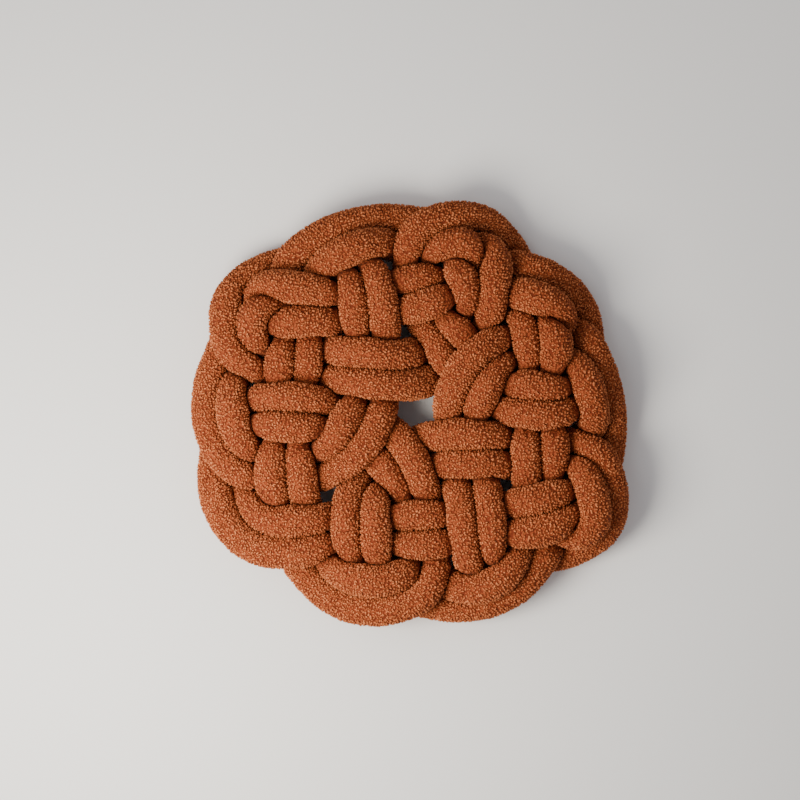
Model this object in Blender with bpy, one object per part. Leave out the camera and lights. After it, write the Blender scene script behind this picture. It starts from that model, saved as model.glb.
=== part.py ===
# Knot cushion: a stuffed boucle cord laid double along one closed knot of thirty
# crossings, over and under by turns, with ten lobes round the edge.
# Metres, +Z up. The face points up, the underside rests on Z = 0.
import math
from collections import namedtuple

import bmesh
import bpy
import numpy as np

MM = 0.001

# ---- driving sizes (metres) ----
CORD_RADIUS = 0.0160      # free, unpressed radius of the stuffed cord
PAIR_HALF = 0.0142        # half the spacing of the two rounds
LIFT = 0.026              # height of an over pass before the knot is pressed flat
PRESSED = 0.0215          # half the height between the highest and lowest cord middles
CROWN = 0.003             # how much higher the middle of the face stands than the rim
CORE = 0.0230             # least distance between cord middles once pressed
GAP = 0.0021              # gap kept between neighbouring rounds
FLAT_DEPTH = 0.0055       # how far the underside is pressed flat
SIDES = 10                # faces round the cord
RINGS = (424, 472)        # sections along the inner and the outer round
STEPS = 24                # spline steps between two stations
NODES = 550               # settling nodes along each round
FINE = 1600               # points along each round that its neighbours are cut back from
PRESS_ROUNDS = 420
CORD_COLOUR = (0.40, 0.105, 0.032, 1.0)

# ---- the knot, seen from above: x to the right, y away, millimetres ----
Crossing = namedtuple("Crossing", "x y lean")       # lean: tilt of the pair, degrees
Bend = namedtuple("Bend", "x y height")             # height: share of LIFT
Lobe = namedtuple("Lobe", "x1 y1 lean1 x2 y2 lean2 x3 y3 lean3")

CROSSINGS = {
    # where neighbouring lobes cross
    "k1": Crossing(-97, 134, 8), "k2": Crossing(9, 156, 20), "k3": Crossing(96, 122, 25),
    "k4": Crossing(156, 51, 40), "k5": Crossing(163, -39, 45), "k6": Crossing(105, -131, 42),
    "k7": Crossing(8, -154, 18), "k8": Crossing(-102, -111, 8), "k9": Crossing(-162, -33, 25),
    "k10": Crossing(-152, 58, 25),
    # middle ring
    "m1": Crossing(-103, 97, 0), "m2": Crossing(-39, 105, 0), "m3": Crossing(14, 112, 0),
    "m4": Crossing(61, 116, 0), "m5": Crossing(120, 70, 0), "m6": Crossing(120, 12, 0),
    "m7": Crossing(117, -36, 0), "m8": Crossing(119, -90, 0), "m9": Crossing(61, -102, 0),
    "m10": Crossing(6, -105, 0), "m11": Crossing(-46, -107, 0), "m13": Crossing(-114, -51, 0),
    "m14": Crossing(-111, 2, 0), "m15": Crossing(-107, 47, 0),
    # round the centre
    "c1": Crossing(-36, 41, 0), "c2": Crossing(56, 34, 0), "c3": Crossing(50, -30, 0),
    "c4": Crossing(-46, -13, 0), "c5": Crossing(-9, -44, 0), "c6": Crossing(38, 67, 0),
}

# under passes that lie beside the middle of their crossing
UNDER_SHIFTS = {
    "k1": Crossing(-93, 126, 8),
    "k3": Crossing(86, 112, 20),
    "k4": Crossing(145, 57, 28),
    "k6": Crossing(105, -108, 62),
}

# bends hidden under a lobe, between two crossings
BENDS = {
    "b1": Bend(-53, 137, -0.9), "b2": Bend(50, 146, -0.9), "b3": Bend(108, 100, -0.8),
    "b4": Bend(152, 24, -0.9), "b5": Bend(158, -71, -0.9), "b6": Bend(71, -142, -0.9),
    "b7": Bend(-37, -145, -0.9), "b8": Bend(-108, -88, -0.8), "b9": Bend(-158, -4, -0.9),
    "b10": Bend(-147, 88, -0.9), "b11": Bend(-40, -66, -0.3), "b12": Bend(54, 84, -0.5),
    "b13": Bend(13, 42, 0.2),
}

# outer lobes, three stations each
LOBE_HEIGHTS = (0.6, 0.25, -0.25)
LOBES = {
    "a1": Lobe(-67, 154, 35, -41, 163, 30, -15, 164, 30),
    "a2": Lobe(26, 163, 30, 50, 169, 36, 72, 155, 32),
    "a3": Lobe(123, 111, 30, 139, 99, 40, 147, 82, 46),
    "a4": Lobe(165, 26, 50, 172, 4, 52, 172, -15, 52),
    "a5": Lobe(171, -67, 50, 175, -95, 50, 162, -115, 74),
    "a6": Lobe(96, -146, 54, 82, -159, 58, 46, -168, 50),
    "a7": Lobe(-10, -159, 10, -41, -166, 10, -70, -152, 10),
    "a8": Lobe(-141, -109, 8, -158, -88, 8, -168, -61, 15),
    "a9": Lobe(-172, -5, 32, -173, 13, 32, -166, 41, 32),
    "a10": Lobe(-158, 80, 32, -153, 101, 26, -131, 115, 15),
}

# the one closed route, a row per lobe; every row starts with an over pass
ROUTE = (
    ("k1", "a1", "k2", "b2", "m4", "b12", "c6", "b13", "c1", "m15"),
    ("k10", "a10", "k1", "b1", "m2", "c1", "c4", "m13"),
    ("k9", "a9", "k10", "b10", "m1", "m2", "m3", "m4"),
    ("k3", "a3", "k4", "b4", "m6", "c2", "c6", "m3"),
    ("k2", "a2", "k3", "b3", "m5", "m6", "m7", "m8"),
    ("k6", "a6", "k7", "b7", "m11", "b11", "c5", "c3", "m7"),
    ("k5", "a5", "k6", "b6", "m9", "c3", "c2", "m5"),
    ("k4", "a4", "k5", "b5", "m8", "m9", "m10", "m11"),
    ("k8", "a8", "k9", "b9", "m14", "c4", "c5", "m10"),
    ("k7", "a7", "k8", "b8", "m13", "m14", "m15", "m1"),
)


def route_stations():
    """Rows of x, y, z, lean and hold along the pair's middle line."""
    rows = []
    for legs in ROUTE:
        over = True
        for name in legs:
            if name in LOBES:
                lobe = LOBES[name]
                for k, height in enumerate(LOBE_HEIGHTS):
                    x, y, lean = lobe[3 * k:3 * k + 3]
                    rows.append((x * MM, y * MM, height * LIFT, math.radians(lean), 0.8))
            elif name in BENDS:
                bend = BENDS[name]
                rows.append((bend.x * MM, bend.y * MM, bend.height * LIFT, 0.0, 0.5))
            else:
                spot = CROSSINGS[name] if over else UNDER_SHIFTS.get(name, CROSSINGS[name])
                side = 1 if over else -1
                hold = 1.0 if over else 0.15
                rows.append((spot.x * MM, spot.y * MM, side * LIFT, math.radians(spot.lean), hold))
                over = not over
    return np.array(rows)


def closed_spline(knots, steps):
    """Periodic cubic spline through the rows of knots."""
    count = len(knots)
    span = np.linalg.norm((np.roll(knots, -1, 0) - knots)[:, :2], axis=1) ** 0.7
    span = span / span.mean()
    system = np.zeros((count, count))
    right = np.zeros(knots.shape)
    for i in range(count):
        before = span[i - 1]
        after = span[i]
        following = (i + 1) % count
        system[i, i - 1] = before
        system[i, i] = 2 * (before + after)
        system[i, following] = after
        rise = (knots[following] - knots[i]) / after
        fall = (knots[i] - knots[i - 1]) / before
        right[i] = 6 * (rise - fall)
    curve = np.linalg.solve(system, right)
    rows = []
    for i in range(count):
        following = (i + 1) % count
        for step in range(steps):
            t = step / steps
            s = 1 - t
            flat = s * knots[i] + t * knots[following]
            bow = (s ** 3 - s) * curve[i] + (t ** 3 - t) * curve[following]
            rows.append(flat + span[i] ** 2 / 6 * bow)
    return np.array(rows)


def hold_weights(stations):
    """How firmly each spline point keeps its place in plan: firm near the stations."""
    total = len(stations) * STEPS
    weight = np.full(total, 0.02)
    half = STEPS // 2
    for i, hold in enumerate(stations[:, 4]):
        for offset in range(-half, half + 1):
            spot = (i * STEPS + offset) % total
            weight[spot] = max(weight[spot], 0.5 * hold * (1 - abs(offset) / (half + 1)))
    return weight


def resample(rows, count):
    """Rows at equal steps of length along a closed line (first three columns)."""
    stretch = np.linalg.norm((np.roll(rows, -1, 0) - rows)[:, :3], axis=1)
    along = np.concatenate([[0], np.cumsum(stretch)])
    closed = np.vstack([rows, rows[:1]])
    marks = np.arange(count) * along[-1] / count
    columns = [np.interp(marks, along, closed[:, k]) for k in range(rows.shape[1])]
    return np.stack(columns, 1)


def smoothed(rows, times):
    for _ in range(times):
        middle = (np.roll(rows, 1, 0) + np.roll(rows, -1, 0)) / 2
        rows = rows + 0.5 * (middle - rows)
    return rows


def laid_rounds():
    """The two rounds side by side along the route, before pressing."""
    stations = route_stations()
    line = closed_spline(stations[:, :4], STEPS)
    weight = hold_weights(stations)
    heading = np.roll(line, -1, 0) - np.roll(line, 1, 0)
    heading = heading[:, :2] / np.linalg.norm(heading[:, :2], axis=1)[:, None]
    lean = line[:, 3]
    across = np.stack([-heading[:, 1] * np.cos(lean), heading[:, 0] * np.cos(lean), -np.sin(lean)], 1)
    rounds = []
    for side in (-1, 1):
        path = smoothed(line[:, :3] + side * PAIR_HALF * across, 12)
        rounds.append(resample(np.column_stack([path, weight]), NODES))
    return rounds


def near_pairs(points, owner, place, reach):
    """Index pairs of nodes that may touch, leaving out close ones of the same round."""
    plan = np.linalg.norm((points[:, None] - points[None, :])[:, :, :2], axis=2)
    apart = np.abs(place[:, None] - place[None, :])
    apart = np.minimum(apart, NODES - apart)
    pitch = np.linalg.norm(points[1] - points[0])
    same = (owner[:, None] == owner[None, :]) & (apart * pitch < 0.045)
    first, second = np.where((plan < reach) & ~same)
    keep = first < second
    return first[keep], second[keep]


def pressed_rounds(rounds):
    """Press the lifted rounds flat while they push each other apart."""
    points = np.vstack([r[:, :3] for r in rounds])
    hold = np.concatenate([r[:, 3] for r in rounds])[:, None]
    owner = np.repeat((0, 1), NODES)
    place = np.tile(np.arange(NODES), 2)
    home = points.copy()
    first, second = near_pairs(points, owner, place, CORE + 0.03)
    start = LIFT * 1.73
    for press in range(PRESS_ROUNDS):
        share = min(1.0, press / (0.55 * PRESS_ROUNDS))
        low = start + (PRESSED - start) * share
        spread = np.linalg.norm(points[:, :2], axis=1) / 0.18
        high = low + CROWN * np.clip(1 - spread ** 2, 0, 1)
        points[:, 2] = np.clip(points[:, 2], -low, high)
        gap = points[second] - points[first]
        length = np.linalg.norm(gap, axis=1) + 1e-9
        hit = length < CORE
        push = (0.5 * (CORE - length[hit]) / length[hit])[:, None] * gap[hit]
        moved = np.zeros_like(points)
        touches = np.zeros(len(points))
        np.add.at(moved, first[hit], -push)
        np.add.at(moved, second[hit], push)
        np.add.at(touches, first[hit], 1)
        np.add.at(touches, second[hit], 1)
        points = points + moved / np.maximum(touches, 1)[:, None]
        for k in range(2):
            part = points[k * NODES:(k + 1) * NODES]
            bow = (np.roll(part, 1, 0) + np.roll(part, -1, 0)) / 2 - part
            twist = (np.roll(bow, 1, 0) + np.roll(bow, -1, 0)) / 2 - bow
            points[k * NODES:(k + 1) * NODES] = part + 0.35 * (0.25 * bow - 0.75 * twist)
        points[:, :2] += 0.5 * hold * (home[:, :2] - points[:, :2])
    points[:, 2] = np.clip(points[:, 2], -PRESSED, PRESSED + CROWN)
    return [resample(smoothed(points[k * NODES:(k + 1) * NODES], 6), NODES) for k in range(2)]


def section_axes(path):
    """Unit side and up vectors of each section."""
    along = np.roll(path, -1, 0) - np.roll(path, 1, 0)
    along /= np.linalg.norm(along, axis=1)[:, None]
    side = np.cross((0.0, 0.0, 1.0), along)
    side /= np.linalg.norm(side, axis=1)[:, None]
    return side, np.cross(along, side)


def pressed_sections(paths, index, rings, sides, floor):
    """Ring points of one round: full round sections cut back half way to every neighbour."""
    path = resample(paths[index], rings)
    side, up = section_axes(path)
    turn = np.arange(sides) * 2 * math.pi / sides
    rays = np.cos(turn)[None, :, None] * side[:, None] + np.sin(turn)[None, :, None] * up[:, None]
    reach = np.full((rings, sides), CORD_RADIUS)
    others = np.vstack([resample(line, FINE) for line in paths])
    mine = np.arange(len(others)) // FINE == index
    spot = np.arange(len(others)) % FINE
    pitch = np.linalg.norm(np.roll(path, -1, 0) - path, axis=1).sum() / FINE
    for i in range(rings):
        gap = others - path[i]
        length = np.linalg.norm(gap, axis=1)
        apart = np.abs(spot - i * FINE / rings)
        apart = np.minimum(apart, FINE - apart) * pitch
        near = (length < 2 * CORD_RADIUS + GAP) & ~(mine & (apart < 0.018))
        if near.any():
            toward = gap[near] / length[near][:, None]
            facing = rays[i] @ toward.T
            limit = (length[near] - GAP)[None, :] / 2 / np.maximum(facing, 1e-3)
            limit = np.where(facing > 1e-3, limit, 1.0)
            reach[i] = np.minimum(reach[i], limit.min(1))
    down = rays[:, :, 2]
    limit = (path[:, None, 2] - floor) / np.maximum(-down, 1e-3)
    reach = np.minimum(reach, np.where(down < -1e-3, limit, 1.0))
    beside = (np.roll(reach, 1, 0) + np.roll(reach, -1, 0)) / 2
    reach = np.minimum(reach, (reach + beside) / 2)
    return path[:, None] + reach[:, :, None] * rays


def add_round(name, sections):
    """One closed loop of cord as a solid."""
    rings, sides = sections.shape[:2]
    mesh = bpy.data.meshes.new(name)
    shell = bmesh.new()
    verts = [[shell.verts.new(point) for point in ring] for ring in sections]
    for i in range(rings):
        ring = verts[i]
        following = verts[(i + 1) % rings]
        for j in range(sides):
            beside = (j + 1) % sides
            shell.faces.new((ring[j], following[j], following[beside], ring[beside]))
    bmesh.ops.recalc_face_normals(shell, faces=shell.faces)
    bmesh.ops.triangulate(shell, faces=shell.faces, quad_method="SHORT_EDGE")
    shell.to_mesh(mesh)
    shell.free()
    cord = bpy.data.objects.new(name, mesh)
    bpy.context.scene.collection.objects.link(cord)
    material = bpy.data.materials.new(name + "_boucle")
    material.use_nodes = True
    shader = material.node_tree.nodes["Principled BSDF"]
    shader.inputs["Base Color"].default_value = CORD_COLOUR
    shader.inputs["Roughness"].default_value = 0.95
    shader.inputs["Metallic"].default_value = 0.0
    mesh.materials.append(material)
    mesh.shade_smooth()
    mesh.set_sharp_from_angle(angle=math.radians(60))
    return cord


for old in list(bpy.data.objects):
    bpy.data.objects.remove(old, do_unlink=True)

paths = pressed_rounds(laid_rounds())
floor_level = -PRESSED - CORD_RADIUS + FLAT_DEPTH
loops = [pressed_sections(paths, k, RINGS[k], SIDES, floor_level) for k in range(2)]
everything = np.vstack([loop.reshape(-1, 3) for loop in loops])
middle = (everything.min(0) + everything.max(0)) / 2
middle[2] = floor_level
for label, loop in zip(("cord_round_a", "cord_round_b"), loops):
    placed = loop - middle
    placed[:, :, 2] = np.where(placed[:, :, 2] < 1e-6, 0.0, placed[:, :, 2])
    add_round(label, placed)
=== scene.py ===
import math
from collections import namedtuple

import bpy
import numpy as np
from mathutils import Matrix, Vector, noise


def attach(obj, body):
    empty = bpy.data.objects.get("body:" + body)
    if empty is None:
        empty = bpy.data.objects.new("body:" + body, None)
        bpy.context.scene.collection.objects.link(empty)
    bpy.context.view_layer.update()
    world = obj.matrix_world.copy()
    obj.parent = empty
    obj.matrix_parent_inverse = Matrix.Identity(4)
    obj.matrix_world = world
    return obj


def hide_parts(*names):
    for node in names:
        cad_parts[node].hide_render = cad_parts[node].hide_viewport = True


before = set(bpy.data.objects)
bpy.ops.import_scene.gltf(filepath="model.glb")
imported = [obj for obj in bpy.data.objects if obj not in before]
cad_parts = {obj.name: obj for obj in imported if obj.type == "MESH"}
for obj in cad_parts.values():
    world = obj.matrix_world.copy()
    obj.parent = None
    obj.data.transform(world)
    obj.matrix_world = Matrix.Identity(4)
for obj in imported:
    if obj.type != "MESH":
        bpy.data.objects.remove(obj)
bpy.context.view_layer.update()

# The knot is one closed route, laid double, and the same route as in the solids.
# The tables are in millimetres from the middle, x to the right and y up in the photo.
mm = 0.001
cordLaying = dict(
    radius=0.0160,             # free cord, as in the solids
    pairHalf=0.0142,           # half the spacing of the two rounds
    lift=0.026,                # height of an over pass before pressing
    pressed=0.0215,            # half height of the cord middles once pressed
    crown=0.003,               # how much higher the middle of the knot stays
    crownReach=0.18,           # how far out the crown goes
    core=0.0230,               # least distance between cord middles
    gap=0.0021,                # between the solids of two cords
    flatDepth=0.0055,          # how far the underside is pressed flat
    spanPower=0.7,             # evens out long and short legs of the route
    steps=24,                  # spline steps from one station to the next
    smoothing=12,              # of the two rounds as they are laid
    nodes=550,                 # settling nodes along each round
    fine=1600,                 # points along each round that its neighbours are cut back from
    solidSides=10,
    solidRings=(424, 472),
)
cordPressing = dict(
    rounds=420,
    flatBy=0.55,               # share of the rounds after which the knot is flat
    startLift=1.73,            # height of the press at the start, in lifts
    ownStretch=0.045,          # a cord doesn't push itself within this length
    sight=0.03,                # pairs farther apart than the core and this never meet
    ease=0.35,                 # how fast a cord straightens out
    bowShare=0.25,
    twistShare=0.75,
    homePull=0.5,              # how strongly a held station keeps its place
    smoothing=6,               # of each round once pressed
)
# how firmly the stations hold their places while the knot is pressed
stationHold = dict(over=1.0, lobe=0.8, bend=0.5, under=0.15, between=0.02, share=0.5)

Crossing = namedtuple("Crossing", "x y lean")   # lean: tilt of the pair, degrees
Bend = namedtuple("Bend", "x y height")         # height: share of the lift
Lobe = namedtuple("Lobe", "x1 y1 lean1 x2 y2 lean2 x3 y3 lean3")

crossings = {
    # between neighbouring lobes
    "k1": Crossing(-97, 134, 8), "k2": Crossing(9, 156, 20), "k3": Crossing(96, 122, 25),
    "k4": Crossing(156, 51, 40), "k5": Crossing(163, -39, 45), "k6": Crossing(105, -131, 42),
    "k7": Crossing(8, -154, 18), "k8": Crossing(-102, -111, 8), "k9": Crossing(-162, -33, 25),
    "k10": Crossing(-152, 58, 25),
    # middle ring
    "m1": Crossing(-103, 97, 0), "m2": Crossing(-39, 105, 0), "m3": Crossing(14, 112, 0),
    "m4": Crossing(61, 116, 0), "m5": Crossing(120, 70, 0), "m6": Crossing(120, 12, 0),
    "m7": Crossing(117, -36, 0), "m8": Crossing(119, -90, 0), "m9": Crossing(61, -102, 0),
    "m10": Crossing(6, -105, 0), "m11": Crossing(-46, -107, 0), "m13": Crossing(-114, -51, 0),
    "m14": Crossing(-111, 2, 0), "m15": Crossing(-107, 47, 0),
    # round the centre
    "c1": Crossing(-36, 41, 0), "c2": Crossing(56, 34, 0), "c3": Crossing(50, -30, 0),
    "c4": Crossing(-46, -13, 0), "c5": Crossing(-9, -44, 0), "c6": Crossing(38, 67, 0),
}
# where the under pass of a crossing runs beside its over pass
underShifts = {
    "k1": Crossing(-93, 126, 8), "k3": Crossing(86, 112, 20),
    "k4": Crossing(145, 57, 28), "k6": Crossing(105, -108, 62),
}
bends = {
    "b1": Bend(-53, 137, -0.9), "b2": Bend(50, 146, -0.9), "b3": Bend(108, 100, -0.8),
    "b4": Bend(152, 24, -0.9), "b5": Bend(158, -71, -0.9), "b6": Bend(71, -142, -0.9),
    "b7": Bend(-37, -145, -0.9), "b8": Bend(-108, -88, -0.8), "b9": Bend(-158, -4, -0.9),
    "b10": Bend(-147, 88, -0.9), "b11": Bend(-40, -66, -0.3), "b12": Bend(54, 84, -0.5),
    "b13": Bend(13, 42, 0.2),
}
lobeHeights = (0.6, 0.25, -0.25)   # of a lobe's three stations, shares of the lift
lobes = {
    "a1": Lobe(-67, 154, 35, -41, 163, 30, -15, 164, 30),
    "a2": Lobe(26, 163, 30, 50, 169, 36, 72, 155, 32),
    "a3": Lobe(123, 111, 30, 139, 99, 40, 147, 82, 46),
    "a4": Lobe(165, 26, 50, 172, 4, 52, 172, -15, 52),
    "a5": Lobe(171, -67, 50, 175, -95, 50, 162, -115, 74),
    "a6": Lobe(96, -146, 54, 82, -159, 58, 46, -168, 50),
    "a7": Lobe(-10, -159, 10, -41, -166, 10, -70, -152, 10),
    "a8": Lobe(-141, -109, 8, -158, -88, 8, -168, -61, 15),
    "a9": Lobe(-172, -5, 32, -173, 13, 32, -166, 41, 32),
    "a10": Lobe(-158, 80, 32, -153, 101, 26, -131, 115, 15),
}
# a row per lobe, each starting with an over pass
route = (
    ("k1", "a1", "k2", "b2", "m4", "b12", "c6", "b13", "c1", "m15"),
    ("k10", "a10", "k1", "b1", "m2", "c1", "c4", "m13"),
    ("k9", "a9", "k10", "b10", "m1", "m2", "m3", "m4"),
    ("k3", "a3", "k4", "b4", "m6", "c2", "c6", "m3"),
    ("k2", "a2", "k3", "b3", "m5", "m6", "m7", "m8"),
    ("k6", "a6", "k7", "b7", "m11", "b11", "c5", "c3", "m7"),
    ("k5", "a5", "k6", "b6", "m9", "c3", "c2", "m5"),
    ("k4", "a4", "k5", "b5", "m8", "m9", "m10", "m11"),
    ("k8", "a8", "k9", "b9", "m14", "c4", "c5", "m10"),
    ("k7", "a7", "k8", "b8", "m13", "m14", "m15", "m1"),
)


def routeStations():
    # a row for each station: x, y, height, lean and how firmly it holds its place
    lift = cordLaying["lift"]
    rows = []
    for legs in route:
        over = True
        for name in legs:
            if name in lobes:
                for k, height in enumerate(lobeHeights):
                    x, y, lean = lobes[name][3 * k:3 * k + 3]
                    rows.append((x * mm, y * mm, height * lift, math.radians(lean), stationHold["lobe"]))
            elif name in bends:
                bend = bends[name]
                rows.append((bend.x * mm, bend.y * mm, bend.height * lift, 0.0, stationHold["bend"]))
            else:
                spot = crossings[name] if over else underShifts.get(name, crossings[name])
                rows.append((spot.x * mm, spot.y * mm, lift if over else -lift,
                             math.radians(spot.lean), stationHold["over" if over else "under"]))
                over = not over
    return np.array(rows)


def closedSpline(knots, steps):
    count = len(knots)
    span = np.linalg.norm((np.roll(knots, -1, 0) - knots)[:, :2], axis=1) ** cordLaying["spanPower"]
    span = span / span.mean()
    system = np.zeros((count, count))
    right = np.zeros(knots.shape)
    for i in range(count):
        following = (i + 1) % count
        system[i, i - 1] = span[i - 1]
        system[i, i] = 2 * (span[i - 1] + span[i])
        system[i, following] = span[i]
        rise = (knots[following] - knots[i]) / span[i]
        fall = (knots[i] - knots[i - 1]) / span[i - 1]
        right[i] = 6 * (rise - fall)
    curve = np.linalg.solve(system, right)
    rows = []
    for i in range(count):
        following = (i + 1) % count
        for step in range(steps):
            t = step / steps
            s = 1 - t
            bow = (s ** 3 - s) * curve[i] + (t ** 3 - t) * curve[following]
            rows.append(s * knots[i] + t * knots[following] + span[i] ** 2 / 6 * bow)
    return np.array(rows)


def holdWeights(stations, steps):
    # the hold fades out half way to the next station
    total = len(stations) * steps
    weight = np.full(total, stationHold["between"])
    half = steps // 2
    for i, hold in enumerate(stations[:, 4]):
        for offset in range(-half, half + 1):
            spot = (i * steps + offset) % total
            faded = stationHold["share"] * hold * (1 - abs(offset) / (half + 1))
            weight[spot] = max(weight[spot], faded)
    return weight


def resample(rows, count):
    stretch = np.linalg.norm((np.roll(rows, -1, 0) - rows)[:, :3], axis=1)
    along = np.concatenate([[0], np.cumsum(stretch)])
    closed = np.vstack([rows, rows[:1]])
    marks = np.arange(count) * along[-1] / count
    return np.stack([np.interp(marks, along, closed[:, k]) for k in range(rows.shape[1])], 1)


def smoothed(rows, times):
    for _ in range(times):
        rows = rows + 0.5 * ((np.roll(rows, 1, 0) + np.roll(rows, -1, 0)) / 2 - rows)
    return rows


def laidRounds():
    # the route's line moved out to each side, turned by its lean
    stations = routeStations()
    line = closedSpline(stations[:, :4], cordLaying["steps"])
    weight = holdWeights(stations, cordLaying["steps"])
    heading = np.roll(line, -1, 0) - np.roll(line, 1, 0)
    heading = heading[:, :2] / np.linalg.norm(heading[:, :2], axis=1)[:, None]
    lean = line[:, 3]
    across = np.stack([-heading[:, 1] * np.cos(lean), heading[:, 0] * np.cos(lean), -np.sin(lean)], 1)
    rounds = []
    for side in (-1, 1):
        path = smoothed(line[:, :3] + side * cordLaying["pairHalf"] * across, cordLaying["smoothing"])
        rounds.append(resample(np.column_stack([path, weight]), cordLaying["nodes"]))
    return rounds


def nearPairs(points, owner, place, reach):
    nodes = cordLaying["nodes"]
    plan = np.linalg.norm((points[:, None] - points[None, :])[:, :, :2], axis=2)
    apart = np.abs(place[:, None] - place[None, :])
    apart = np.minimum(apart, nodes - apart)
    pitch = np.linalg.norm(points[1] - points[0])
    same = (owner[:, None] == owner[None, :]) & (apart * pitch < cordPressing["ownStretch"])
    first, second = np.where((plan < reach) & ~same)
    keep = first < second
    return first[keep], second[keep]


def straightened(part):
    # a little less bent and a little less kinked
    bow = (np.roll(part, 1, 0) + np.roll(part, -1, 0)) / 2 - part
    twist = (np.roll(bow, 1, 0) + np.roll(bow, -1, 0)) / 2 - bow
    return part + cordPressing["ease"] * (cordPressing["bowShare"] * bow - cordPressing["twistShare"] * twist)


def pressedRounds(rounds):
    # the rounds push each other apart while they are pressed flat
    nodes, core, pressed = cordLaying["nodes"], cordLaying["core"], cordLaying["pressed"]
    points = np.vstack([r[:, :3] for r in rounds])
    hold = np.concatenate([r[:, 3] for r in rounds])[:, None]
    owner = np.repeat((0, 1), nodes)
    place = np.tile(np.arange(nodes), 2)
    home = points.copy()
    first, second = nearPairs(points, owner, place, core + cordPressing["sight"])
    start = cordLaying["lift"] * cordPressing["startLift"]
    for press in range(cordPressing["rounds"]):
        share = min(1.0, press / (cordPressing["flatBy"] * cordPressing["rounds"]))
        low = start + (pressed - start) * share
        spread = np.linalg.norm(points[:, :2], axis=1) / cordLaying["crownReach"]
        high = low + cordLaying["crown"] * np.clip(1 - spread ** 2, 0, 1)
        points[:, 2] = np.clip(points[:, 2], -low, high)
        gap = points[second] - points[first]
        length = np.linalg.norm(gap, axis=1) + 1e-9
        hit = length < core
        push = (0.5 * (core - length[hit]) / length[hit])[:, None] * gap[hit]
        moved = np.zeros_like(points)
        touches = np.zeros(len(points))
        np.add.at(moved, first[hit], -push)
        np.add.at(moved, second[hit], push)
        np.add.at(touches, first[hit], 1)
        np.add.at(touches, second[hit], 1)
        points = points + moved / np.maximum(touches, 1)[:, None]
        for k in range(2):
            points[k * nodes:(k + 1) * nodes] = straightened(points[k * nodes:(k + 1) * nodes])
        points[:, :2] += cordPressing["homePull"] * hold * (home[:, :2] - points[:, :2])
    points[:, 2] = np.clip(points[:, 2], -pressed, pressed + cordLaying["crown"])
    parts = (points[:nodes], points[nodes:])
    return [resample(smoothed(part, cordPressing["smoothing"]), nodes) for part in parts]


def sectionAxes(path):
    along = np.roll(path, -1, 0) - np.roll(path, 1, 0)
    along /= np.linalg.norm(along, axis=1)[:, None]
    side = np.cross((0.0, 0.0, 1.0), along)
    side /= np.linalg.norm(side, axis=1)[:, None]
    return side, np.cross(along, side)


def pressedSections(paths, index, rings, sides, radius, gap, floor, ease, soften):
    # round sections cut back half way to every neighbour and at the floor, eased along the cord
    # and softened round their edges; gives the points, and how far each reached before softening
    path = resample(paths[index], rings)
    side, up = sectionAxes(path)
    turn = np.arange(sides) * 2 * math.pi / sides
    rays = np.cos(turn)[None, :, None] * side[:, None] + np.sin(turn)[None, :, None] * up[:, None]
    reach = np.full((rings, sides), radius)
    fine = cordLaying["fine"]
    others = np.vstack([resample(line, fine) for line in paths])
    mine = np.arange(len(others)) // fine == index
    spot = np.arange(len(others)) % fine
    pitch = np.linalg.norm(np.roll(path, -1, 0) - path, axis=1).sum() / fine
    ownStretch = 0.018     # a cord isn't cut back by its own line within this length
    leastFacing = 1e-3     # a ray that faces a neighbour less than this isn't cut back by it
    uncut = 1.0            # far past any section
    for i in range(rings):
        away = others - path[i]
        length = np.linalg.norm(away, axis=1)
        apart = np.abs(spot - i * fine / rings)
        apart = np.minimum(apart, fine - apart) * pitch
        near = (length < 2 * radius + gap) & ~(mine & (apart < ownStretch))
        if near.any():
            toward = away[near] / length[near][:, None]
            facing = rays[i] @ toward.T
            limit = (length[near] - gap)[None, :] / 2 / np.maximum(facing, leastFacing)
            limit = np.where(facing > leastFacing, limit, uncut)
            reach[i] = np.minimum(reach[i], limit.min(1))
    down = rays[:, :, 2]
    limit = (path[:, None, 2] - floor) / np.maximum(-down, leastFacing)
    reach = np.minimum(reach, np.where(down < -leastFacing, limit, uncut))
    for _ in range(ease):
        beside = (np.roll(reach, 1, 0) + np.roll(reach, -1, 0)) / 2
        reach = np.minimum(reach, (reach + beside) / 2)
    soft = reach
    for _ in range(soften):
        beside = (np.roll(soft, 1, 1) + np.roll(soft, -1, 1)) / 2
        soft = np.minimum(soft, (soft + beside) / 2)
    return path[:, None] + soft[:, :, None] * rays, reach


def knotPlace(paths, floor):
    # the middle of the solids' box, with the underside at zero, so that both lie in one place
    loops = []
    for k in range(2):
        loop = pressedSections(paths, k, rings=cordLaying["solidRings"][k],
                               sides=cordLaying["solidSides"], radius=cordLaying["radius"],
                               gap=cordLaying["gap"], floor=floor, ease=1, soften=0)[0]
        loops.append(loop.reshape(-1, 3))
    points = np.vstack(loops)
    middle = (points.min(0) + points.max(0)) / 2
    middle[2] = floor
    return middle


def addObject(name, data):
    thing = bpy.data.objects.new(name, data)
    bpy.context.scene.collection.objects.link(thing)
    return thing


def meshFromArrays(name, points, faces, values):
    mesh = bpy.data.meshes.new(name)
    mesh.from_pydata(points.tolist(), [], faces.tolist())
    for label, numbers in values.items():
        mesh.attributes.new(label, "FLOAT", "POINT").data.foreach_set("value", numbers.astype(np.float32))
    mesh.shade_smooth()
    return addObject(name, mesh)


def ringFaces(rings, sides):
    index = np.arange(rings * sides).reshape(rings, sides)
    ahead = np.roll(index, -1, 0)
    beside = np.roll(index, -1, 1)
    both = np.roll(ahead, -1, 1)
    return np.stack([index, beside, both, ahead], -1).reshape(-1, 4)


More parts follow.
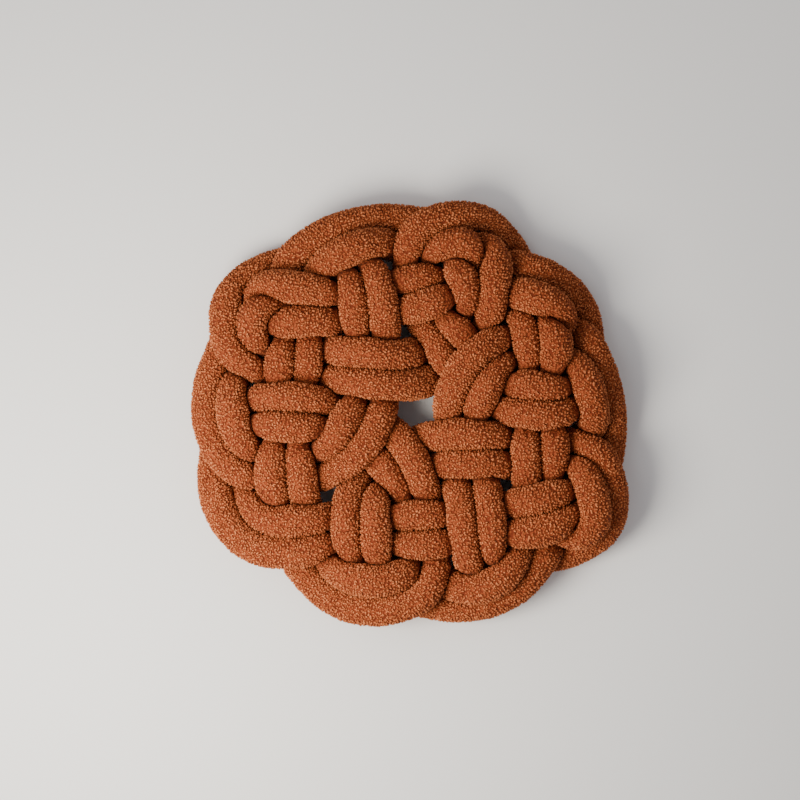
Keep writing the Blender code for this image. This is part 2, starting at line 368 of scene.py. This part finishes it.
def gridNormals(points):
    along = np.roll(points, -1, 0) - np.roll(points, 1, 0)
    around = np.roll(points, -1, 1) - np.roll(points, 1, 1)
    normal = np.cross(around, along)
    return normal / (np.linalg.norm(normal, axis=2)[:, :, None] + 1e-12)


clothSkin = dict(
    inset=0.0010,              # the backing cloth lies this far inside the solids
    foldGap=0.0015,            # between the cloth of two cords in a fold
    rings=(1140, 1370),
    sides=24,
    ease=6,
    soften=5,                  # widens the valleys between the cords
    lumpDepth=0.0009,          # lumps of the stuffing and clumps of the pile
    lumpSize=0.024,
    lumpLayers=3,              # each layer is finer and weaker than the one before
    lumpFall=0.8,
    lumpFiner=2.4,
    pressedShare=0.8,          # no lumps, and the darkest painted fold shade on the curls, where a section reaches less far than this share
    pressedFade=0.2,
    clearShare=0.955,          # the cloth is clear of its neighbours from this share on
)
# the cloth's points, which of them lie clear of the neighbours, and how little each is pressed
ClothGrid = namedtuple("ClothGrid", "points clear free")


def makeCloth(name, paths, index, middle, floor):
    inset = clothSkin["inset"]
    points, reach = pressedSections(paths, index, rings=clothSkin["rings"][index],
                                    sides=clothSkin["sides"], radius=cordLaying["radius"] - inset,
                                    gap=clothSkin["foldGap"], floor=floor + inset,
                                    ease=clothSkin["ease"], soften=clothSkin["soften"])
    points = points - middle
    normal = gridNormals(points)
    flat = points.reshape(-1, 3) / clothSkin["lumpSize"]
    lumps = [noise.fractal(Vector(p), clothSkin["lumpFall"], clothSkin["lumpFiner"], clothSkin["lumpLayers"])
             for p in flat]
    lump = np.array(lumps).reshape(points.shape[:2])
    share = reach / reach.max()
    free = np.clip((share - clothSkin["pressedShare"]) / clothSkin["pressedFade"], 0, 1)
    points = points + (lump * free * clothSkin["lumpDepth"])[:, :, None] * normal
    points[:, :, 2] = np.maximum(points[:, :, 2], inset * 0.5)
    rings, sides = points.shape[:2]
    cloth = meshFromArrays(name, points.reshape(-1, 3), ringFaces(rings, sides), {})
    clear = (share > clothSkin["clearShare"]).astype(float)
    for way in (-1, 1, -1, 1):     # two samples wider on each side
        clear = np.maximum(clear, np.roll(clear, way, 1))
    return cloth, ClothGrid(points, clear[:, :, None], free[:, :, None])


pileCurls = dict(
    spacing=0.00248,           # between neighbouring curls
    rowShare=0.87,             # spacing of the rows, in spacings
    length=0.0033,
    thickness=0.00108,         # half width of the yarn
    rise=0.00035,              # how high the yarn's middle stands over the cloth
    sink=0.0003,               # how deep its ends go in
    bow=0.0005,                # sideways bend of a curl
    scatter=0.20,              # how far a curl strays from its row, in spacings
    fold=0.22,                 # how far the pile goes on into the folds, 0 is furthest
    foldPaintedShade=0.3,             # painted shade in the folds: how light the curls deepest in a fold are painted, 1 is as light as the rest
    flatUnder=0.0009,          # no curls on the pressed underside, which lies lower than this
    flatFacing=-0.9,           # and faces down more than this
    leastInRow=6,
    piecesPerCord=3,
    seed=7,
)
curlShares = dict(
    size=(0.8, 1.2),           # smallest and largest
    length=(0.8, 1.2),
    rise=(0.3, 1.7),
    bends=(-0.2, 0.22),        # the two bends of a curl, in lengths from its middle
    corners=(90, 205, 335),    # of its section, degrees, the first on top
    topTip=0.88,               # colour height on top, at the sides and at the ends: a painted highlight on top, painted shade at the sides and deeper painted shade at the ends
    sideTip=0.38,
    endTip=0.12,
    risePaintedLight=0.3,               # a curl that stands higher is painted lighter, a painted highlight
    mostTip=1.2,
)


def between(bounds, draws):
    low, high = bounds
    return low + (high - low) * draws


def curlSpots(points, first, last, rng):
    # staggered rows round the cord, each curl a little out of place
    spacing = pileCurls["spacing"]
    sides = points.shape[1]
    stretch = np.linalg.norm(np.roll(points, -1, 0) - points, axis=2).mean(1)
    girth = np.linalg.norm(np.roll(points, -1, 1) - points, axis=2).sum(1)
    along = np.concatenate([[0], np.cumsum(stretch)])
    step = spacing * pileCurls["rowShare"]
    rows = []
    walked = along[first]
    while walked < along[last] - step * 0.5:
        ring = int(np.searchsorted(along, walked, side="right")) - 1
        count = max(pileCurls["leastInRow"], int(girth[ring] / spacing))
        stray = pileCurls["scatter"] * rng.standard_normal((2, count))
        angles = (np.arange(count) + 0.5 * (len(rows) % 2) + stray[0]) / count * sides
        places = ring + (walked - along[ring] + stray[1] * step) / stretch[ring]
        rows.append(np.stack([places, angles], 1))
        walked += step
    return np.vstack(rows)


def gridSample(grid, spots):
    # values between the points of a ring grid, at places given as ring and side
    rings, sides = grid.shape[:2]
    ring = np.floor(spots[:, 0]).astype(int)
    side = np.floor(spots[:, 1]).astype(int)
    ringPart = (spots[:, 0] - ring)[:, None]
    sidePart = (spots[:, 1] - side)[:, None]
    ring, nextRing = ring % rings, (ring + 1) % rings
    side, nextSide = side % sides, (side + 1) % sides
    here = (1 - sidePart) * grid[ring, side] + sidePart * grid[ring, nextSide]
    ahead = (1 - sidePart) * grid[nextRing, side] + sidePart * grid[nextRing, nextSide]
    return (1 - ringPart) * here + ringPart * ahead


def curlFaces(count):
    # a point at each end and a three-cornered section at each bend
    pattern = np.array([
        (0, 2, 1), (0, 3, 2), (0, 1, 3),
        (1, 2, 5), (1, 5, 4), (2, 3, 6), (2, 6, 5), (3, 1, 4), (3, 4, 6),
        (7, 4, 5), (7, 5, 6), (7, 6, 4),
    ])
    return (np.arange(count)[:, None, None] * 8 + pattern[None]).reshape(-1, 3)


def makePile(name, grid, first, last, seed):
    # small bent curls of yarn over a stretch of the cord
    rng = np.random.default_rng(seed)
    spots = curlSpots(grid.points, first, last, rng)
    seat = gridSample(grid.points, spots)
    outward = gridSample(gridNormals(grid.points), spots)
    outward /= np.linalg.norm(outward, axis=1)[:, None]
    pressedFlat = (seat[:, 2] < pileCurls["flatUnder"]) & (outward[:, 2] < pileCurls["flatFacing"])
    shows = (gridSample(grid.clear, spots)[:, 0] > pileCurls["fold"]) & ~pressedFlat
    # painted shade: curls deep in a fold get a darker colour height
    paintedFoldShade = between((pileCurls["foldPaintedShade"], 1), gridSample(grid.free, spots)[shows, 0])
    seat, outward = seat[shows], outward[shows]
    count = len(seat)
    random = rng.standard_normal((count, 3))
    lie = random - (random * outward).sum(1)[:, None] * outward
    lie /= np.linalg.norm(lie, axis=1)[:, None]
    across = np.cross(outward, lie)
    size = between(curlShares["size"], rng.random(count))[:, None]
    length = pileCurls["length"] * size * between(curlShares["length"], rng.random((count, 1)))
    thick = pileCurls["thickness"] * size
    lift = between(curlShares["rise"], rng.random((count, 1)))
    bow = pileCurls["bow"] * rng.standard_normal((count, 1))
    corners = [seat - 0.5 * length * lie - pileCurls["sink"] * outward]
    tips = [curlShares["endTip"]]
    for place in curlShares["bends"]:
        middle = seat + place * length * lie + bow * across + pileCurls["rise"] * lift * outward
        for angle in curlShares["corners"]:
            turn = math.radians(angle)
            corners.append(middle + thick * (math.cos(turn) * across + math.sin(turn) * outward))
            tips.append(curlShares["topTip" if angle == curlShares["corners"][0] else "sideTip"])
    corners.append(seat + 0.5 * length * lie - pileCurls["sink"] * outward)
    tips.append(curlShares["endTip"])
    corners = np.stack(corners, 1)
    corners[:, :, 2] = np.maximum(corners[:, :, 2], 0.0)
    # painted light: higher curls get a lighter colour and curls in folds a darker one
    paintedLight = (1 + curlShares["risePaintedLight"] * (lift - 1)) * paintedFoldShade[:, None]
    values = {
        "tip": np.clip(np.array(tips) * paintedLight, 0, curlShares["mostTip"]).reshape(-1),
        "tint": np.repeat(rng.random(count), len(tips)),
    }
    return meshFromArrays(name, corners.reshape(-1, 3), curlFaces(count), values)


yarnShades = dict(
    # colours by height in the pile: gap is painted shade low between the curls, body the yarn's own colour,
    # tip a painted highlight on top
    gap=(0.130, 0.022, 0.008, 1),        # painted shade deep between the curls
    body=(0.312, 0.075, 0.024, 1),
    # painted highlight on the tops of the curls
    tip=(0.645, 0.208, 0.077, 1),
    backing=(0.300, 0.062, 0.020, 1),    # the cloth under the pile, in the creases
    bodyHeight=0.5,                      # height in the pile where the body colour is full
    tipHeight=1.1,
    curlChange=0.4,                      # from curl to curl, in heights
    patchChange=0.3,                     # from patch to patch
    patchSize=60.0,                      # sizes are noise cells to the metre
    patchDetail=3.0,
    curlSize=380.0,                      # of the curls drawn on the backing
    cellEdge=0.75,
    cellTop=0.15,
    curlDepth=0.0010,
    curlStrength=0.9,
    roughness=0.9,
    specular=0.08,
    sheen=0.06,
    sheenTint=(0.9, 0.45, 0.25, 1),
    fibreSize=1600.0,
    fibreDetail=2.0,
    fibreTwist=1.5,
    fibreDepth=0.00025,
    fibreStrength=0.6,
)


def newGroup(name, inputs, output):
    # inputs: name, kind and starting value of each
    group = bpy.data.node_groups.new(name, "ShaderNodeTree")
    for label, kind, value in inputs:
        group.interface.new_socket(name=label, in_out="INPUT", socket_type=kind).default_value = value
    group.interface.new_socket(name=output[0], in_out="OUTPUT", socket_type=output[1])
    return group, group.nodes.new("NodeGroupInput"), group.nodes.new("NodeGroupOutput")


def addNode(tree, kind, settings=None, values=None, joins=None):
    # settings of the node itself, plain values of its sockets, and outputs joined to them
    node = tree.nodes.new(kind)
    for label, setting in (settings or {}).items():
        setattr(node, label, setting)
    for label, value in (values or {}).items():
        node.inputs[label].default_value = value
    for label, source in (joins or {}).items():
        tree.links.new(source, node.inputs[label])
    return node


def yarnColourGroup():
    # mixes gap, body and tip colours by height in the pile, with patchy and per-curl changes; low in the pile
    # is painted shade, high up a painted highlight
    group, start, end = newGroup("yarnColour", (
        ("Height", "NodeSocketFloat", 0.5),
        ("Curl Change", "NodeSocketFloat", 0.5),
        ("Patch Size", "NodeSocketFloat", yarnShades["patchSize"]),
        ("Gap Colour", "NodeSocketColor", yarnShades["gap"]),
        ("Body Colour", "NodeSocketColor", yarnShades["body"]),
        ("Tip Colour", "NodeSocketColor", yarnShades["tip"]),
    ), ("Colour", "NodeSocketColor"))
    given = start.outputs
    place = addNode(group, "ShaderNodeTexCoord")
    patch = addNode(group, "ShaderNodeTexNoise", values={"Detail": yarnShades["patchDetail"]},
                    joins={"Vector": place.outputs["Object"], "Scale": given["Patch Size"]})
    curlChange, patchChange = yarnShades["curlChange"], yarnShades["patchChange"]
    speck = addNode(group, "ShaderNodeMath", {"operation": "MULTIPLY_ADD"},
                    {1: curlChange, 2: -curlChange / 2}, {0: given["Curl Change"]})
    patchy = addNode(group, "ShaderNodeMath", {"operation": "MULTIPLY_ADD"},
                     {1: patchChange, 2: -patchChange / 2}, {0: patch.outputs["Fac"]})
    total = addNode(group, "ShaderNodeMath", {"operation": "ADD"},
                    joins={0: speck.outputs[0], 1: patchy.outputs[0]})
    height = addNode(group, "ShaderNodeMath", {"operation": "ADD", "use_clamp": True},
                     joins={0: given["Height"], 1: total.outputs[0]})
    bodyHeight = yarnShades["bodyHeight"]
    lowMask = addNode(group, "ShaderNodeMapRange", values={"From Min": 0.0, "From Max": bodyHeight},
                      joins={"Value": height.outputs[0]})
    highMask = addNode(group, "ShaderNodeMapRange",
                       values={"From Min": bodyHeight, "From Max": yarnShades["tipHeight"]},
                       joins={"Value": height.outputs[0]})
    lower = addNode(group, "ShaderNodeMix", {"data_type": "RGBA"}, joins={
        "Factor": lowMask.outputs["Result"], "A": given["Gap Colour"], "B": given["Body Colour"]})
    upper = addNode(group, "ShaderNodeMix", {"data_type": "RGBA"}, joins={
        "Factor": highMask.outputs["Result"], "A": lower.outputs["Result"], "B": given["Tip Colour"]})
    group.links.new(upper.outputs["Result"], end.inputs["Colour"])
    return group


def curlCellsGroup():
    # painted shade: the colour group gives the gaps between these curls the dark gap colour and their tops a
    # lighter colour
    # the curls drawn on the backing, as a height from the gap (0) to the top of a curl (1)
    group, start, end = newGroup("curlCells", (
        ("Curl Size", "NodeSocketFloat", yarnShades["curlSize"]),
    ), ("Height", "NodeSocketFloat"))
    place = addNode(group, "ShaderNodeTexCoord")
    cell = addNode(group, "ShaderNodeTexVoronoi", {"feature": "F1"},
                   joins={"Vector": place.outputs["Object"], "Scale": start.outputs["Curl Size"]})
    top = addNode(group, "ShaderNodeMapRange", {"interpolation_type": "SMOOTHSTEP"},
                  {"From Min": yarnShades["cellEdge"], "From Max": yarnShades["cellTop"]},
                  {"Value": cell.outputs["Distance"]})
    group.links.new(top.outputs["Result"], end.inputs["Height"])
    return group


def fibreReliefGroup():
    # fine fibres on the yarn, as a height
    group, start, end = newGroup("fibreRelief", (
        ("Fibre Size", "NodeSocketFloat", yarnShades["fibreSize"]),
    ), ("Height", "NodeSocketFloat"))
    place = addNode(group, "ShaderNodeTexCoord")
    fibre = addNode(group, "ShaderNodeTexNoise",
                    values={"Detail": yarnShades["fibreDetail"], "Distortion": yarnShades["fibreTwist"]},
                    joins={"Vector": place.outputs["Object"], "Scale": start.outputs["Fibre Size"]})
    group.links.new(fibre.outputs["Fac"], end.inputs["Height"])
    return group


def placeGroup(tree, group, values):
    return addNode(tree, "ShaderNodeGroup", {"node_tree": group}, values)


def plainMaterial(name, values):
    material = bpy.data.materials.new(name)
    material.use_nodes = True
    shader = material.node_tree.nodes["Principled BSDF"]
    for label, value in values.items():
        shader.inputs[label].default_value = value
    return material


def yarnMaterial(name, groups, body, tip):
    # the yarn's finish, with the colours at half height and on top
    material = plainMaterial(name, {
        "Roughness": yarnShades["roughness"],
        "Sheen Weight": yarnShades["sheen"],
        "Sheen Tint": yarnShades["sheenTint"],
        "Specular IOR Level": yarnShades["specular"],
    })
    tree = material.node_tree
    colour = placeGroup(tree, groups["colour"], {
        "Gap Colour": yarnShades["gap"], "Body Colour": yarnShades[body], "Tip Colour": yarnShades[tip]})
    relief = placeGroup(tree, groups["relief"], {"Fibre Size": yarnShades["fibreSize"]})
    bump = addNode(tree, "ShaderNodeBump",
                   values={"Strength": yarnShades["fibreStrength"], "Distance": yarnShades["fibreDepth"]},
                   joins={"Height": relief.outputs["Height"]})
    shader = tree.nodes["Principled BSDF"]
    tree.links.new(colour.outputs["Colour"], shader.inputs["Base Color"])
    tree.links.new(bump.outputs["Normal"], shader.inputs["Normal"])
    return material, colour, bump


def pileMaterial(groups):
    # each curl brings its own colour heights, which carry its painted light and shade, and change of colour
    material, colour, _ = yarnMaterial("bouclePile", groups, "body", "tip")
    tree = material.node_tree
    for label, socket in (("tip", "Height"), ("tint", "Curl Change")):
        value = addNode(tree, "ShaderNodeAttribute", {"attribute_name": label})
        tree.links.new(value.outputs["Fac"], colour.inputs[socket])
    return material


def backingMaterial(groups):
    # the cloth in the folds is given the look of curls that are pressed together, with painted shade in the
    # gaps between the drawn curls
    material, colour, bump = yarnMaterial("boucleBacking", groups, "backing", "body")
    tree = material.node_tree
    cells = placeGroup(tree, groups["cells"], {"Curl Size": yarnShades["curlSize"]})
    tree.links.new(cells.outputs["Height"], colour.inputs["Height"])
    curlBump = addNode(tree, "ShaderNodeBump",
                       values={"Strength": yarnShades["curlStrength"], "Distance": yarnShades["curlDepth"]},
                       joins={"Height": cells.outputs["Height"], "Normal": bump.outputs["Normal"]})
    tree.links.new(curlBump.outputs["Normal"], tree.nodes["Principled BSDF"].inputs["Normal"])
    return material


print("laying the cord")
paths = pressedRounds(laidRounds())
floorLevel = -cordLaying["pressed"] - cordLaying["radius"] + cordLaying["flatDepth"]
middle = knotPlace(paths, floorLevel)
groups = dict(colour=yarnColourGroup(), cells=curlCellsGroup(), relief=fibreReliefGroup())
backing = backingMaterial(groups)
yarn = pileMaterial(groups)

for index, node in enumerate(("cord_round_a", "cord_round_b")):
    letter = "AB"[index]
    cloth, grid = makeCloth("cordCloth" + letter, paths, index, middle, floorLevel)
    cloth.data.materials.append(backing)
    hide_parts(node)
    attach(cloth, "root")
    print("cloth", node, "done")
    total = len(grid.points)
    pieces = pileCurls["piecesPerCord"]
    for k in range(pieces):
        name = "boucleCurls" + letter + str(k + 1)
        pile = makePile(name, grid, k * total // pieces, (k + 1) * total // pieces,
                        pileCurls["seed"] + 10 * index + k)
        pile.data.materials.append(yarn)
        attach(pile, "root")
        print("pile", name, len(pile.data.polygons), "faces")

paleFloor = dict(size=6.0, colour=(0.82, 0.80, 0.77, 1), roughness=0.8)
softLights = dict(
    key=dict(place=(-0.46, -0.27, 0.64), size=0.5, power=12.0, colour=(1.0, 0.96, 0.88)),
    fill=dict(place=(-0.85, 0.35, 1.1), size=1.2, power=5.0, colour=(1.0, 1.0, 1.0)),
)
lightAim = (0, 0, 0.03)    # both lamps point at the cushion's middle
skyLight = dict(colour=(0.95, 0.95, 1.0, 1), strength=0.52)


def makeFloor():
    half = paleFloor["size"] / 2
    corners = [(-half, -half, 0), (half, -half, 0), (half, half, 0), (-half, half, 0)]
    mesh = bpy.data.meshes.new("floor")
    mesh.from_pydata(corners, [], [(0, 1, 2, 3)])
    floor = addObject("floor", mesh)
    mesh.materials.append(plainMaterial("paleFloor", {
        "Base Color": paleFloor["colour"], "Roughness": paleFloor["roughness"]}))


def makeLight(name, look):
    light = bpy.data.lights.new(name, "AREA")
    light.shape = "DISK"
    light.size = look["size"]
    light.energy = look["power"]
    light.color = look["colour"]
    lamp = addObject(name, light)
    lamp.location = look["place"]
    lamp.rotation_euler = (Vector(lightAim) - Vector(look["place"])).to_track_quat("-Z", "Y").to_euler()


def makeWorld():
    world = bpy.data.worlds.new("studio")
    world.use_nodes = True
    background = world.node_tree.nodes["Background"]
    background.inputs["Color"].default_value = skyLight["colour"]
    background.inputs["Strength"].default_value = skyLight["strength"]
    bpy.context.scene.world = world


makeFloor()
for name, look in softLights.items():
    makeLight(name, look)
makeWorld()
print("floor and lights done")

cameraView = dict(
    distance=2.4,
    frameWidth=0.7224,         # metres across the picture at the cords' middle height
    aim=(-0.0099, 0.0126),     # the cushion's middle is a little right of and below the picture's
    aimHeight=0.045,
    sensor=36.0,
)


def makeCamera():
    # straight above the cushion, looking down on its face
    lens = bpy.data.cameras.new("camera")
    lens.sensor_width = cameraView["sensor"]
    lens.lens = cameraView["sensor"] * cameraView["distance"] / cameraView["frameWidth"]
    lens.dof.use_dof = False
    camera = addObject("camera", lens)
    x, y = cameraView["aim"]
    camera.location = (x - middle[0], y - middle[1], cameraView["aimHeight"] + cameraView["distance"])
    camera.rotation_euler = (0, 0, 0)
    bpy.context.scene.camera = camera


makeCamera()
print("camera done")
